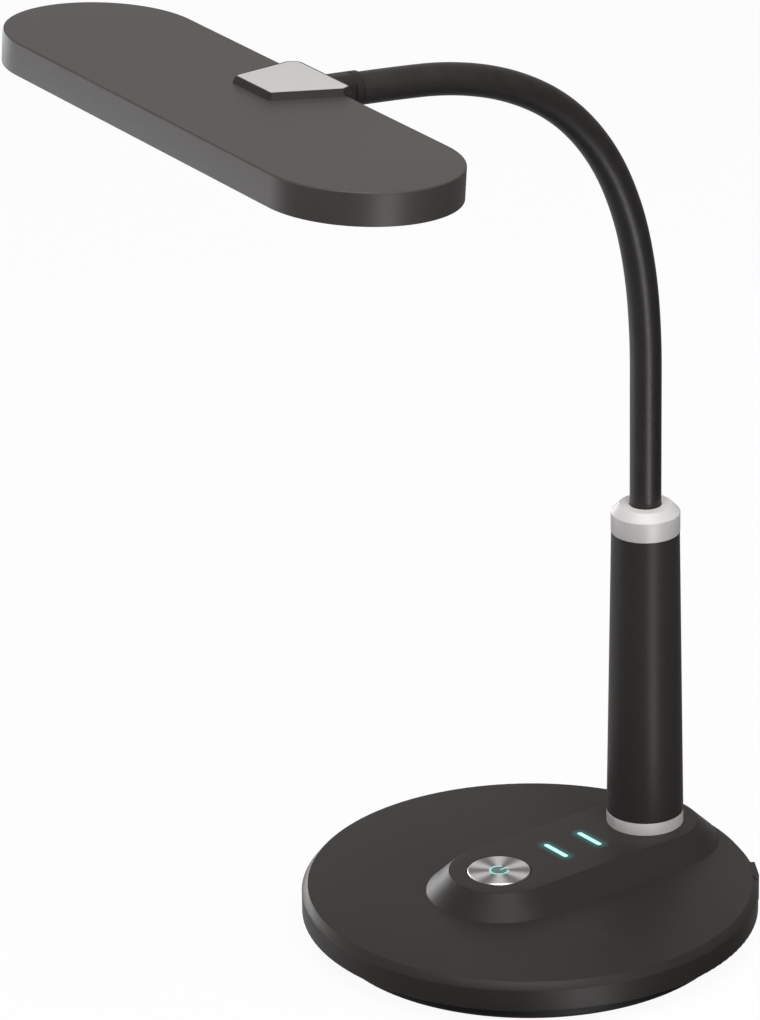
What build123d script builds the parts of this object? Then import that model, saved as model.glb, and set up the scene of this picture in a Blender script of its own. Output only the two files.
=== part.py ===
from build123d import *
from math import atan2, cos, degrees, pi, radians, sin
import os

# Gooseneck desk lamp. Millimetres, +Z up. The origin is the centre of the base's resting face.
# The power button is at the front (-Y), the column at the rear (+Y), and the head's long side runs along X.

# Clearances, and how far a cut runs past the face that it opens
LOOSE_GAP = 0.2
CLOSE_GAP = 0.1
SCREW_FIT = 0.03
TURNED_FIT = 0.05
CUT = 1.0
# Base
BASE_R = 100.0
BASE_TOP_Z = 21.8
BASE_CHAMFER_H = 3.3
BASE_CHAMFER_W = 2.6
BASE_EDGE_ROUND = 0.5
SHELL_WALL = 2.4
SKIRT_Z = 8.7
SKIRT_EDGE_ROUND = 0.6
PLINTH_INSET = 10.5
PLINTH_WALL = 2.5
PLINTH_FLOOR = 2.5
COVER_FLANGE = 2.0
FLANGE_GAP = 0.3
COVER_BOSS_L = 6.2
FOOT_PAD_T = 1.0
FOOT_PAD_INSET = 0.3
# Raised island that joins the button to the column
ISLAND_H = 9.5
ISLAND_HALF_W = 23.2
ISLAND_SLOPE_W = 9.8
ISLAND_EDGE_ROUND = 0.5
ISLAND_TOP_T = 2.5
ISLAND_L = 80.5
ISLAND_CAVITY_L = 49.5
# Power button and its switch
BUTTON_AHEAD = 1.5
BUTTON_R = 13.9
BUTTON_GAP = 0.3
BUTTON_PROUD = 0.2
BUTTON_TRAVEL = 0.8
BUTTON_CAP_T = 1.8
BUTTON_EDGE = 0.35
BUTTON_FLANGE_R = 15.6
BUTTON_FLANGE_T = 1.4
BUTTON_WALL = 1.2
BUTTON_STEM_R = 2.6
ICON_R = 4.4
ICON_LINE = 0.9
ICON_DEPTH = 0.7
ICON_GAP_DEG = 70.0
ICON_TICK_L = 4.2
ICON_TICK_Y = 2.7
SWITCH_SIDE = 6.2
SWITCH_H = 3.6
PLUNGER_R = 1.6
PLUNGER_H = 1.6
PLUNGER_SUNK = 1.0
PLUNGER_EDGE = 0.2
PLUNGER_FIT = 0.08
# Two light slots behind the button
SLOT_L = 15.8
SLOT_W = 2.6
SLOTS_BEHIND = (31.7, 50.5)
# Electronics
BOARD_T = 1.6
BOARD_Z = 14.0
BOARD_HALF_X = 30.0
BOARD_AHEAD = 21.0
BOARD_L = 86.0
BOARD_POST_R = 2.8
BOARD_POST_INSET = 4.0
BOARD_CORNER_R = 2.5
BOARD_SCREW_HEAD_H = 1.2
LED_L = 3.6
LED_W = 2.0
LED_H = 1.0
# Counterweight
WEIGHT_R = 55.0
WEIGHT_T = 8.0
WEIGHT_Y = -15.0
WEIGHT_SCREW_PCR = 42.0
WEIGHT_BOSS_R = 4.0
WEIGHT_EDGE_ROUND = 0.8
WEIGHT_SCREW_HEAD_R = 5.6
WEIGHT_SCREW_HEAD_H = 1.2
# Base screws
BASE_SCREW_INSET = 10.5
BASE_BOSS_R = 4.2
SCREW_R = 1.5
SCREW_HEAD_R = 2.9
SCREW_HEAD_H = 1.6
SCREW_TIP_GAP = 0.5
BASE_SCREW_TIP_GAP = 2.0
# Power inlet
INLET_TURN_DEG = 31.5
INLET_BOSS_W = 13.0
INLET_BOSS_PROUD = 0.5
INLET_BOSS_ROUND = 0.4
INLET_BOSS_TOP_Z = 21.0
INLET_WALL_GAP = 0.4
INLET_NOSE_SUNK = 0.2
INLET_BACK_T = 1.0
INLET_BODY_W = 9.0
INLET_BODY_L = 11.0
INLET_NOSE_R = 3.9
INLET_BORE_R = 3.1
INLET_PIN_R = 1.05
INLET_DEPTH = 9.0
INLET_PIN_SUNK = 1.0
# Column
COLUMN_INSET = 35.0
COLUMN_FOOT_R = 17.0
COLUMN_HEAD_R = 15.0
COLUMN_WALL = 1.8
RING_H = 5.8
COLUMN_TOP_Z = 170.6
CAP_BAND_H = 9.1
CAP_CONE_H = 3.6
CAP_R = 15.15
CAP_RIM_R = 11.6
CAP_HOLE_R = 7.15
CAP_EDGE_ROUND = 0.4
RING_EDGE_ROUND = 0.3
CAP_BORE_R = 6.6
CAP_LEDGE_Z = 176.0
SPIGOT_L = 6.0
SPIGOT_GAP = 0.15
TIE_ROD_R = 5.0
TIE_ROD_BORE_R = 3.0
TIE_ROD_BOTTOM_Z = 9.6
NUT_ACROSS_FLATS = 17.0
NUT_H = 6.0
WASHER_R = 10.5
WASHER_T = 1.5
# Gooseneck: ten equal runs, each a plain arc with its own bend
NECK_TURN_DEG = -3.5
NECK_LEAD = 0.7
RUN_LENGTH = 30.9
RUN_BENDS_DEG = (0, 0, 5, 8, 12, 16, 18, 14, 11, 1.7)
SLEEVE_R = 6.9
SLEEVE_BORE_R = 4.3
HOSE_R = 4.0
HOSE_BORE_R = 2.4
HOSE_END_GAP = 1.3
FERRULE_WALL = 0.6
LOWER_FERRULE_L = 18.0
FERRULE_SHOULDER_T = 2.5
FERRULE_GRIP_L = 9.0
# Head: x right, y to the rear, z up from the middle of its top face
HEAD_L = 277.4
HEAD_W = 84.0
HEAD_T = 14.0
HEAD_TOP_T = 2.0
HEAD_WALL = 2.2
HEAD_EDGE_ROUND = 0.8
NECK_OFFSET_X = 2.0
NECK_DROP = 5.5
STACK_GAP = 0.2
DIFFUSER_RECESS = 0.3
DIFFUSER_T = 1.7
GUIDE_T = 2.8
REFLECTOR_T = 0.3
BACK_PLATE_T = 1.5
BACK_PLATE_INSET = 0.3
LED_STRIP_T = 1.2
LED_STRIP_GAP = 0.3
HEAD_SCREW_TIP_GAP = 0.5
HEAD_SCREW_R = 1.1
HEAD_SCREW_CONE_R = 2.0
HEAD_SCREW_CONE_H = 1.0
HEAD_BOSS_R = 3.0
HEAD_BOSS_END = 26.0
HEAD_BOSS_SPAN = 56.0
HEAD_BOSS_INSET = 20.0
# Bracket: a low pod on the head's top face and a block behind it that holds the neck
POD_H = 3.0
POD_L = 33.8
POD_FRONT_HALF = 13.0
POD_OVERHANG = 2.5
POD_REAR_HALF = 20.4
POD_CLIP_X = 2.0
POD_CLIP_Y = 4.0
POD_BORDER = 1.8
POD_RIM_W = 0.6
POD_CORNER_R = 3.0
PLATE_T = 1.0
BLOCK_HALF_W = 5.8
BLOCK_TOP = 1.9
BLOCK_BOTTOM = 6.6
BLOCK_L = 15.2
BLOCK_TOP_ROUND = 4.4
COLLAR_R = 7.0
COLLAR_RISE = 0.7
COLLAR_L = 4.0
COLLAR_EDGE = 0.5
COLLAR_SPIGOT_L = 2.0
UPPER_FERRULE_L = 13.0
BRACKET_SCREW_HALF = 9.0
BRACKET_SCREWS_AHEAD = (9.5, 26.5)
BRACKET_SCREW_R = 1.4
BRACKET_HEAD_R = 2.6
BRACKET_HEAD_H = 1.3
BRACKET_SCREW_L = 6.2
BRACKET_BOSS_L = 3.6
SET_SCREW_R = 1.5
SET_SCREW_BEHIND = 11.0
SET_SCREW_SUNK = 0.2

# Places and levels that follow from the sizes above
PLINTH_R = BASE_R - PLINTH_INSET
COLUMN_Y = BASE_R - COLUMN_INSET
ISLAND_FRONT_Y = COLUMN_Y - ISLAND_L
BUTTON_Y = ISLAND_FRONT_Y - BUTTON_AHEAD
SLOT_Y = [BUTTON_Y + y for y in SLOTS_BEHIND]
BOARD_FRONT_Y = BUTTON_Y - BOARD_AHEAD
BOARD_REAR_Y = BOARD_FRONT_Y + BOARD_L
ISLAND_Z = BASE_TOP_Z + ISLAND_H
ISLAND_UNDER_Z = ISLAND_Z - ISLAND_TOP_T
SHELL_UNDER_Z = BASE_TOP_Z - ISLAND_TOP_T
FLOOR_Z = FOOT_PAD_T + PLINTH_FLOOR
FLANGE_TOP_Z = SKIRT_Z + LOOSE_GAP + COVER_FLANGE
BOARD_TOP_Z = BOARD_Z + BOARD_T
WEIGHT_TOP_Z = FLOOR_Z + WEIGHT_T
RING_TOP_Z = ISLAND_Z + RING_H
CAP_BAND_Z = COLUMN_TOP_Z + CAP_BAND_H
CAP_TOP_Z = CAP_BAND_Z + CAP_CONE_H
NECK_START_Z = CAP_TOP_Z + NECK_LEAD
COVER_BOSS_Z = FLOOR_Z + COVER_BOSS_L
PLUNGER_TOP_Z = BOARD_TOP_Z + SWITCH_H + PLUNGER_H
SLEEVE_START_Z = CAP_LEDGE_Z + FERRULE_SHOULDER_T
DIFFUSER_Z = DIFFUSER_RECESS - HEAD_T
GUIDE_Z = DIFFUSER_Z + DIFFUSER_T
REFLECTOR_Z = GUIDE_Z + GUIDE_T
BACK_PLATE_Z = REFLECTOR_Z + REFLECTOR_T
BACK_PLATE_TOP = BACK_PLATE_Z + BACK_PLATE_T
POD_REAR_Y = HEAD_W / 2 + POD_OVERHANG
POD_FRONT_Y = POD_REAR_Y - POD_L
BLOCK_REAR_Y = HEAD_W / 2 + BLOCK_L
NECK_END_Y = BLOCK_REAR_Y + COLLAR_L
SET_SCREW_Y = HEAD_W / 2 + SET_SCREW_BEHIND
HEAD_BOSS_Y = HEAD_W / 2 - HEAD_BOSS_INSET


def bar(radius, z0, z1, x=0.0, y=0.0):
    """Upright round bar from z0 to z1."""
    return Pos(x, y, z0) * Cylinder(radius, z1 - z0, align=(Align.CENTER, Align.CENTER, Align.MIN))


def box(x0, x1, y0, y1, z0, z1):
    """Box between two corners."""
    return Pos(x0, y0, z0) * Box(x1 - x0, y1 - y0, z1 - z0, align=(Align.MIN, Align.MIN, Align.MIN))


def cone(r0, r1, z0, z1, x=0.0, y=0.0):
    """Upright cone from radius r0 at z0 to radius r1 at z1."""
    return Pos(x, y, z0) * Cone(r0, r1, z1 - z0, align=(Align.CENTER, Align.CENTER, Align.MIN))


def stadium(half_width, y0, y1):
    """Flat outline with round ends, its end centres at y0 and y1 on the Y axis."""
    middle = Pos(0, (y0 + y1) / 2) * Rectangle(2 * half_width, y1 - y0)
    return Pos(0, y0) * Circle(half_width) + middle + Pos(0, y1) * Circle(half_width)


def slab(inset, z0, z1):
    """Plate with the head's outline, drawn in by inset, from z0 to z1."""
    radius = HEAD_W / 2 - inset
    half = HEAD_L / 2 - HEAD_W / 2
    outline = Rectangle(2 * half, 2 * radius) + Pos(-half, 0) * Circle(radius) + Pos(half, 0) * Circle(radius)
    return extrude(Pos(0, 0, z0) * outline, z1 - z0)


def ring_of(radius, count, turn):
    """Points on a circle, count of them, the first at turn degrees from +X."""
    angles = [radians(turn + 360.0 * i / count) for i in range(count)]
    return [(radius * cos(a), radius * sin(a)) for a in angles]


# Base

base_screw_points = ring_of(PLINTH_R - BASE_SCREW_INSET, 4, 45.0)
weight_screw_points = [(x, y + WEIGHT_Y) for x, y in ring_of(WEIGHT_SCREW_PCR, 3, 90.0)]
board_screw_points = [
    (side * (BOARD_HALF_X - BOARD_POST_INSET), y)
    for side in (-1, 1)
    for y in (BOARD_FRONT_Y + BOARD_POST_INSET, BOARD_REAR_Y - BOARD_POST_INSET)
]
inlet_frame = Rot(0, 0, 90.0 - INLET_TURN_DEG)
inlet_z = (FLANGE_TOP_Z + SHELL_UNDER_Z) / 2
inlet_back = BASE_R - SHELL_WALL - INLET_WALL_GAP - INLET_BODY_L


def radial_bar(radius, r0, r1, z):
    """Round bar that points outwards along the inlet's direction, from r0 to r1."""
    turned = Rot(0, 90, 0) * Cylinder(radius, r1 - r0, align=(Align.CENTER, Align.CENTER, Align.MIN))
    return inlet_frame * Pos(r0, 0, z) * turned


def make_base_shell():
    chamfer_z = BASE_TOP_Z - BASE_CHAMFER_H
    body = bar(BASE_R, SKIRT_Z, chamfer_z)
    body = fillet(body.edges().group_by(Axis.Z)[0], SKIRT_EDGE_ROUND)
    body += cone(BASE_R, BASE_R - BASE_CHAMFER_W, chamfer_z, BASE_TOP_Z)
    rims = body.edges().filter_by(GeomType.CIRCLE).group_by(Axis.Z)
    body = fillet(rims[-1] + rims[-2], BASE_EDGE_ROUND)
    foot = stadium(ISLAND_HALF_W + ISLAND_SLOPE_W, ISLAND_FRONT_Y, COLUMN_Y)
    slope = degrees(atan2(ISLAND_SLOPE_W, ISLAND_H))
    island = extrude(Pos(0, 0, BASE_TOP_Z) * foot, ISLAND_H, taper=slope)
    body += fillet(island.edges().group_by(Axis.Z)[-1], ISLAND_EDGE_ROUND)
    boss_half = INLET_BOSS_W / 2
    boss_end = BASE_R + INLET_BOSS_PROUD
    wall_inside = BASE_R - SHELL_WALL
    boss = box(wall_inside - BASE_CHAMFER_W, boss_end, -boss_half, boss_half, SKIRT_Z, INLET_BOSS_TOP_Z)
    outer_edges = boss.edges().filter_by(Axis.Z).group_by(Axis.X)[-1]
    top_edges = boss.edges().group_by(Axis.Z)[-1]
    body += inlet_frame * fillet(outer_edges + top_edges, INLET_BOSS_ROUND)
    body -= bar(wall_inside, SKIRT_Z, SHELL_UNDER_Z)
    cavity = stadium(ISLAND_HALF_W - SHELL_WALL, ISLAND_FRONT_Y, ISLAND_FRONT_Y + ISLAND_CAVITY_L)
    body -= extrude(Pos(0, 0, SKIRT_Z) * cavity, ISLAND_UNDER_Z - SKIRT_Z)
    body -= bar(BUTTON_R + BUTTON_GAP, ISLAND_UNDER_Z, ISLAND_Z + CUT, 0, BUTTON_Y)
    for y in SLOT_Y:
        slot = SlotOverall(SLOT_L, SLOT_W)
        body -= extrude(Pos(0, y, ISLAND_UNDER_Z) * slot, ISLAND_TOP_T + CUT)
    for x, y in base_screw_points:
        body += bar(BASE_BOSS_R, COVER_BOSS_Z, SHELL_UNDER_Z, x, y)
        body -= bar(SCREW_R + SCREW_FIT, COVER_BOSS_Z, SHELL_UNDER_Z, x, y)
    for x, y in board_screw_points:
        body += bar(BOARD_POST_R, BOARD_TOP_Z, SHELL_UNDER_Z, x, y)
        body -= bar(SCREW_R + SCREW_FIT, BOARD_TOP_Z, SHELL_UNDER_Z, x, y)
    body -= bar(TIE_ROD_R + LOOSE_GAP, SKIRT_Z, ISLAND_Z + CUT, 0, COLUMN_Y)
    return body - radial_bar(INLET_NOSE_R + CLOSE_GAP, wall_inside - CUT, boss_end + CUT, inlet_z)


def make_base_bottom_cover():
    body = bar(PLINTH_R, FOOT_PAD_T, FLANGE_TOP_Z)
    body += bar(BASE_R - SHELL_WALL - FLANGE_GAP, FLANGE_TOP_Z - COVER_FLANGE, FLANGE_TOP_Z)
    body -= bar(PLINTH_R - PLINTH_WALL, FLOOR_Z, FLANGE_TOP_Z + CUT)
    for x, y in base_screw_points:
        body += bar(BASE_BOSS_R, FLOOR_Z, COVER_BOSS_Z, x, y)
        body -= bar(SCREW_R + SCREW_FIT, FOOT_PAD_T, COVER_BOSS_Z, x, y)
        body -= bar(SCREW_HEAD_R + CLOSE_GAP, FOOT_PAD_T, FLOOR_Z, x, y)
    for x, y in weight_screw_points:
        body += bar(WEIGHT_BOSS_R, FLOOR_Z, WEIGHT_TOP_Z - LOOSE_GAP, x, y)
        body -= bar(SCREW_R + SCREW_FIT, FLOOR_Z, WEIGHT_TOP_Z, x, y)
    return body


def make_base_foot_pad():
    return bar(PLINTH_R - FOOT_PAD_INSET, 0, FOOT_PAD_T)


def make_counterweight():
    body = bar(WEIGHT_R, FLOOR_Z, WEIGHT_TOP_Z, 0, WEIGHT_Y)
    body = fillet(body.edges().group_by(Axis.Z)[-1], WEIGHT_EDGE_ROUND)
    for x, y in weight_screw_points:
        body -= bar(WEIGHT_BOSS_R + LOOSE_GAP, FLOOR_Z, WEIGHT_TOP_Z, x, y)
    return body


def pan_screw(x, y, seat_z, length, up):
    """Screw whose head lies on seat_z; its shank runs up if up is 1 and down if up is -1."""
    tip_z = seat_z + up * length
    head_z = seat_z - up * SCREW_HEAD_H
    shank = bar(SCREW_R, min(seat_z, tip_z), max(seat_z, tip_z), x, y)
    return shank + bar(SCREW_HEAD_R, min(seat_z, head_z), max(seat_z, head_z), x, y)


def make_base_screws():
    seat_z = FLOOR_Z
    length = SHELL_UNDER_Z - BASE_SCREW_TIP_GAP - seat_z
    return [pan_screw(x, y, seat_z, length, 1) for x, y in base_screw_points]


def make_counterweight_screws():
    screws = []
    for x, y in weight_screw_points:
        head = bar(WEIGHT_SCREW_HEAD_R, WEIGHT_TOP_Z, WEIGHT_TOP_Z + WEIGHT_SCREW_HEAD_H, x, y)
        screws.append(head + bar(SCREW_R, FLOOR_Z + SCREW_TIP_GAP, WEIGHT_TOP_Z, x, y))
    return screws


def make_control_board():
    board = box(-BOARD_HALF_X, BOARD_HALF_X, BOARD_FRONT_Y, BOARD_REAR_Y, BOARD_Z, BOARD_TOP_Z)
    board = fillet(board.edges().filter_by(Axis.Z), BOARD_CORNER_R)
    for x, y in board_screw_points:
        board -= bar(SCREW_R + CLOSE_GAP, BOARD_Z, BOARD_TOP_Z, x, y)
    return board


def make_board_screws():
    tip_z = SHELL_UNDER_Z - SCREW_TIP_GAP
    screws = []
    for x, y in board_screw_points:
        head = bar(SCREW_HEAD_R, BOARD_Z - BOARD_SCREW_HEAD_H, BOARD_Z, x, y)
        screws.append(head + bar(SCREW_R, BOARD_Z, tip_z, x, y))
    return screws


def make_switch_housing():
    half = SWITCH_SIDE / 2
    top_z = BOARD_TOP_Z + SWITCH_H
    body = box(-half, half, BUTTON_Y - half, BUTTON_Y + half, BOARD_TOP_Z, top_z)
    pocket_z = top_z - PLUNGER_SUNK - BUTTON_TRAVEL - LOOSE_GAP
    return body - bar(PLUNGER_R + PLUNGER_FIT, pocket_z, top_z, 0, BUTTON_Y)


def make_switch_plunger():
    body = bar(PLUNGER_R, BOARD_TOP_Z + SWITCH_H - PLUNGER_SUNK, PLUNGER_TOP_Z, 0, BUTTON_Y)
    return chamfer(body.edges().group_by(Axis.Z)[-1], PLUNGER_EDGE)


def icon_sketch(grow):
    """Power symbol: an open ring and a short tick through its gap."""
    outer = ICON_R + grow
    inner = ICON_R - ICON_LINE - grow
    reach = 2 * ICON_R
    half_gap = radians(ICON_GAP_DEG / 2) - grow / ICON_R
    corner_x = reach * sin(half_gap)
    corner_y = reach * cos(half_gap)
    wedge = Polygon((0, 0), (-corner_x, corner_y), (corner_x, corner_y), align=None)
    tick = Pos(0, ICON_TICK_Y) * SlotOverall(ICON_TICK_L + 2 * grow, ICON_LINE + 2 * grow, rotation=90)
    return (Circle(outer) - Circle(inner) - wedge) + tick


def make_power_button():
    top_z = ISLAND_Z + BUTTON_PROUD
    flange_top = ISLAND_UNDER_Z - TURNED_FIT
    body = bar(BUTTON_R, flange_top - BUTTON_FLANGE_T, top_z, 0, BUTTON_Y)
    body = chamfer(body.edges().group_by(Axis.Z)[-1], BUTTON_EDGE)
    body += bar(BUTTON_FLANGE_R, flange_top - BUTTON_FLANGE_T, flange_top, 0, BUTTON_Y)
    body -= bar(BUTTON_R - BUTTON_WALL, flange_top - BUTTON_FLANGE_T, top_z - BUTTON_CAP_T, 0, BUTTON_Y)
    body += bar(BUTTON_STEM_R, PLUNGER_TOP_Z, top_z - BUTTON_CAP_T, 0, BUTTON_Y)
    body -= extrude(Pos(0, BUTTON_Y, top_z - ICON_DEPTH) * icon_sketch(TURNED_FIT), ICON_DEPTH)
    return body


def make_button_icon():
    top_z = ISLAND_Z + BUTTON_PROUD
    return extrude(Pos(0, BUTTON_Y, top_z - ICON_DEPTH) * icon_sketch(0), ICON_DEPTH)


def make_indicator_lenses():
    outline = SlotOverall(SLOT_L - 2 * CLOSE_GAP, SLOT_W - 2 * CLOSE_GAP)
    foot_z = BOARD_TOP_Z + LED_H + LOOSE_GAP
    return [extrude(Pos(0, y, foot_z) * outline, ISLAND_Z - foot_z) for y in SLOT_Y]


def make_indicator_leds():
    half_l = LED_L / 2
    half_w = LED_W / 2
    return [box(-half_l, half_l, y - half_w, y + half_w, BOARD_TOP_Z, BOARD_TOP_Z + LED_H) for y in SLOT_Y]


def make_inlet_socket():
    half = INLET_BODY_W / 2
    nose_end = BASE_R + INLET_BOSS_PROUD - INLET_NOSE_SUNK
    block = box(inlet_back, inlet_back + INLET_BODY_L, -half, half, FLANGE_TOP_Z, SHELL_UNDER_Z)
    body = inlet_frame * block + radial_bar(INLET_NOSE_R, inlet_back + INLET_BODY_L / 2, nose_end, inlet_z)
    body -= radial_bar(INLET_BORE_R, BASE_R - INLET_DEPTH, nose_end + CUT, inlet_z)
    return body - radial_bar(INLET_PIN_R, inlet_back + INLET_BACK_T, BASE_R, inlet_z)


def make_inlet_pin():
    return radial_bar(INLET_PIN_R, inlet_back + INLET_BACK_T, BASE_R - INLET_PIN_SUNK, inlet_z)


# Column

column_taper = (COLUMN_FOOT_R - COLUMN_HEAD_R) / (COLUMN_TOP_Z - RING_TOP_Z)


def column_bore(z):
    """Inner radius of the column tube at height z."""
    return COLUMN_FOOT_R - COLUMN_WALL - column_taper * (z - RING_TOP_Z)


def make_column_tube():
    body = cone(COLUMN_FOOT_R, COLUMN_HEAD_R, RING_TOP_Z, COLUMN_TOP_Z, 0, COLUMN_Y)
    body -= cone(column_bore(RING_TOP_Z), column_bore(COLUMN_TOP_Z), RING_TOP_Z, COLUMN_TOP_Z, 0, COLUMN_Y)
    return body


def make_column_base_ring():
    body = bar(COLUMN_FOOT_R, ISLAND_Z, RING_TOP_Z, 0, COLUMN_Y)
    body = fillet(body.edges().group_by(Axis.Z)[-1], RING_EDGE_ROUND)
    spigot_r = column_bore(RING_TOP_Z + SPIGOT_L) - SPIGOT_GAP
    body += bar(spigot_r, RING_TOP_Z, RING_TOP_Z + SPIGOT_L, 0, COLUMN_Y)
    return body - bar(TIE_ROD_R + CLOSE_GAP, ISLAND_Z, RING_TOP_Z + SPIGOT_L, 0, COLUMN_Y)


def make_column_cap():
    body = bar(CAP_R, COLUMN_TOP_Z, CAP_BAND_Z, 0, COLUMN_Y)
    body += cone(CAP_R, CAP_RIM_R, CAP_BAND_Z, CAP_TOP_Z, 0, COLUMN_Y)
    body = fillet(body.edges().filter_by(GeomType.CIRCLE), CAP_EDGE_ROUND)
    spigot_r = column_bore(COLUMN_TOP_Z) - SPIGOT_GAP
    body += bar(spigot_r, COLUMN_TOP_Z - SPIGOT_L, COLUMN_TOP_Z, 0, COLUMN_Y)
    body -= bar(CAP_BORE_R, COLUMN_TOP_Z - SPIGOT_L, CAP_TOP_Z, 0, COLUMN_Y)
    return body - bar(CAP_HOLE_R, CAP_LEDGE_Z, CAP_TOP_Z, 0, COLUMN_Y)


def make_neck_lower_ferrule():
    bottom_z = SLEEVE_START_Z - LOWER_FERRULE_L
    body = bar(CAP_BORE_R - CLOSE_GAP, bottom_z, SLEEVE_START_Z, 0, COLUMN_Y)
    body += bar(CAP_HOLE_R - CLOSE_GAP, CAP_LEDGE_Z, SLEEVE_START_Z, 0, COLUMN_Y)
    body -= bar(TIE_ROD_R + TURNED_FIT, bottom_z, SLEEVE_START_Z - FERRULE_GRIP_L, 0, COLUMN_Y)
    return body - bar(HOSE_R + TURNED_FIT, bottom_z, SLEEVE_START_Z, 0, COLUMN_Y)


def make_column_tie_rod():
    top_z = SLEEVE_START_Z - FERRULE_GRIP_L
    body = bar(TIE_ROD_R, TIE_ROD_BOTTOM_Z, top_z, 0, COLUMN_Y)
    return body - bar(TIE_ROD_BORE_R, TIE_ROD_BOTTOM_Z, top_z, 0, COLUMN_Y)


def make_column_washer():
    body = bar(WASHER_R, SHELL_UNDER_Z - WASHER_T, SHELL_UNDER_Z, 0, COLUMN_Y)
    return body - bar(TIE_ROD_R + CLOSE_GAP, SHELL_UNDER_Z - WASHER_T, SHELL_UNDER_Z, 0, COLUMN_Y)


def make_column_nut():
    top_z = SHELL_UNDER_Z - WASHER_T
    hexagon = RegularPolygon(NUT_ACROSS_FLATS / 2, 6, major_radius=False)
    body = extrude(Pos(0, COLUMN_Y, top_z - NUT_H) * hexagon, NUT_H)
    return body - bar(TIE_ROD_R + SCREW_FIT, top_z - NUT_H, top_z, 0, COLUMN_Y)


# Gooseneck. It lies in an upright plane through the column's axis, turned NECK_TURN_DEG about that axis.
# Reach is measured forward from the axis, and heading is the angle from straight up.

neck_turn = radians(NECK_TURN_DEG)
neck_forward = Vector(sin(neck_turn), -cos(neck_turn), 0)
neck_side = Vector(cos(neck_turn), sin(neck_turn), 0)


def neck_plane(reach, z, heading):
    """Plane square to the neck at a point on its centre line."""
    origin = Vector(0, COLUMN_Y, z) + neck_forward * reach
    along = neck_forward * sin(heading) + Vector(0, 0, cos(heading))
    return Plane(origin=origin, x_dir=neck_side, z_dir=along)


def advance(station, length, bend):
    """Station at the end of a plain arc of the given length that turns by bend degrees."""
    reach, z, heading = station
    turn = radians(bend)
    if turn == 0:
        return (reach + length * sin(heading), z + length * cos(heading), heading)
    radius = length / turn
    end = heading + turn
    return (reach + radius * (cos(heading) - cos(end)), z + radius * (sin(end) - sin(heading)), end)


def arc_tube(station, length, bend, outer, bore):
    """Tube along one plain arc of the neck."""
    reach, z, heading = station
    plane = neck_plane(reach, z, heading)
    section = plane * (Circle(outer) - Circle(bore))
    if bend == 0:
        return extrude(section, length)
    radius = length / radians(bend)
    centre = Vector(0, COLUMN_Y, z - radius * sin(heading)) + neck_forward * (reach + radius * cos(heading))
    return revolve(section, Axis(centre, neck_side), revolution_arc=bend)


run_starts = [(0.0, NECK_START_Z, 0.0)]
for run_bend in RUN_BENDS_DEG:
    run_starts.append(advance(run_starts[-1], RUN_LENGTH, run_bend))
neck_end = run_starts[-1]
run_middles = [advance(s, RUN_LENGTH / 2, b / 2) for s, b in zip(run_starts, RUN_BENDS_DEG)]


def make_neck_sleeve(index):
    """Rubber cover over one run; the first one starts down inside the column cap."""
    bend = RUN_BENDS_DEG[index]
    body = arc_tube(run_starts[index], RUN_LENGTH, bend, SLEEVE_R, SLEEVE_BORE_R)
    if index == 0:
        foot = (0.0, SLEEVE_START_Z, 0.0)
        body += arc_tube(foot, NECK_START_Z - SLEEVE_START_Z, 0, SLEEVE_R, SLEEVE_BORE_R)
    return body


def make_neck_hose(index):
    """Steel hose between two bending points, the middles of the runs on either side."""
    half = RUN_LENGTH / 2
    parts = []
    if index > 0:
        rate = RUN_BENDS_DEG[index - 1] / RUN_LENGTH
        start = advance(run_middles[index - 1], HOSE_END_GAP, rate * HOSE_END_GAP)
        parts.append(arc_tube(start, half - HOSE_END_GAP, rate * (half - HOSE_END_GAP), HOSE_R, HOSE_BORE_R))
    else:
        start_z = SLEEVE_START_Z - FERRULE_GRIP_L
        parts.append(arc_tube((0.0, start_z, 0.0), NECK_START_Z - start_z, 0, HOSE_R, HOSE_BORE_R))
    if index < len(RUN_BENDS_DEG):
        rate = RUN_BENDS_DEG[index] / RUN_LENGTH
        length = half - HOSE_END_GAP
        parts.append(arc_tube(run_starts[index], length, rate * length, HOSE_R, HOSE_BORE_R))
    else:
        parts.append(arc_tube(neck_end, NECK_END_Y - BLOCK_REAR_Y + UPPER_FERRULE_L, 0, HOSE_R, HOSE_BORE_R))
    return parts[0] + parts[1]


# Head. It is drawn flat in its own frame and then placed on the end of the neck.

end_plane = neck_plane(*neck_end)
head_normal = end_plane.y_dir
head_rear = end_plane.z_dir * -1
head_origin = end_plane.origin - neck_side * NECK_OFFSET_X - head_rear * NECK_END_Y + head_normal * NECK_DROP
head_frame = Plane(origin=head_origin, x_dir=neck_side, z_dir=head_normal).location
boss_x = HEAD_L / 2 - HEAD_BOSS_END
head_screw_points = [
    (x, side * HEAD_BOSS_Y)
    for x in (-boss_x, HEAD_BOSS_SPAN - boss_x, boss_x - HEAD_BOSS_SPAN, boss_x)
    for side in (-1, 1)
]
rear_screw_y, front_screw_y = [POD_REAR_Y - y for y in BRACKET_SCREWS_AHEAD]
bracket_screw_points = [
    (NECK_OFFSET_X - BRACKET_SCREW_HALF, rear_screw_y),
    (NECK_OFFSET_X + BRACKET_SCREW_HALF, rear_screw_y),
    (NECK_OFFSET_X, front_screw_y),
]


def along_y(radius, y0, y1, x, z):
    """Round bar that runs to the rear from y0 to y1."""
    turned = Rot(-90, 0, 0) * Cylinder(radius, y1 - y0, align=(Align.CENTER, Align.CENTER, Align.MIN))
    return Pos(x, y0, z) * turned


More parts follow.
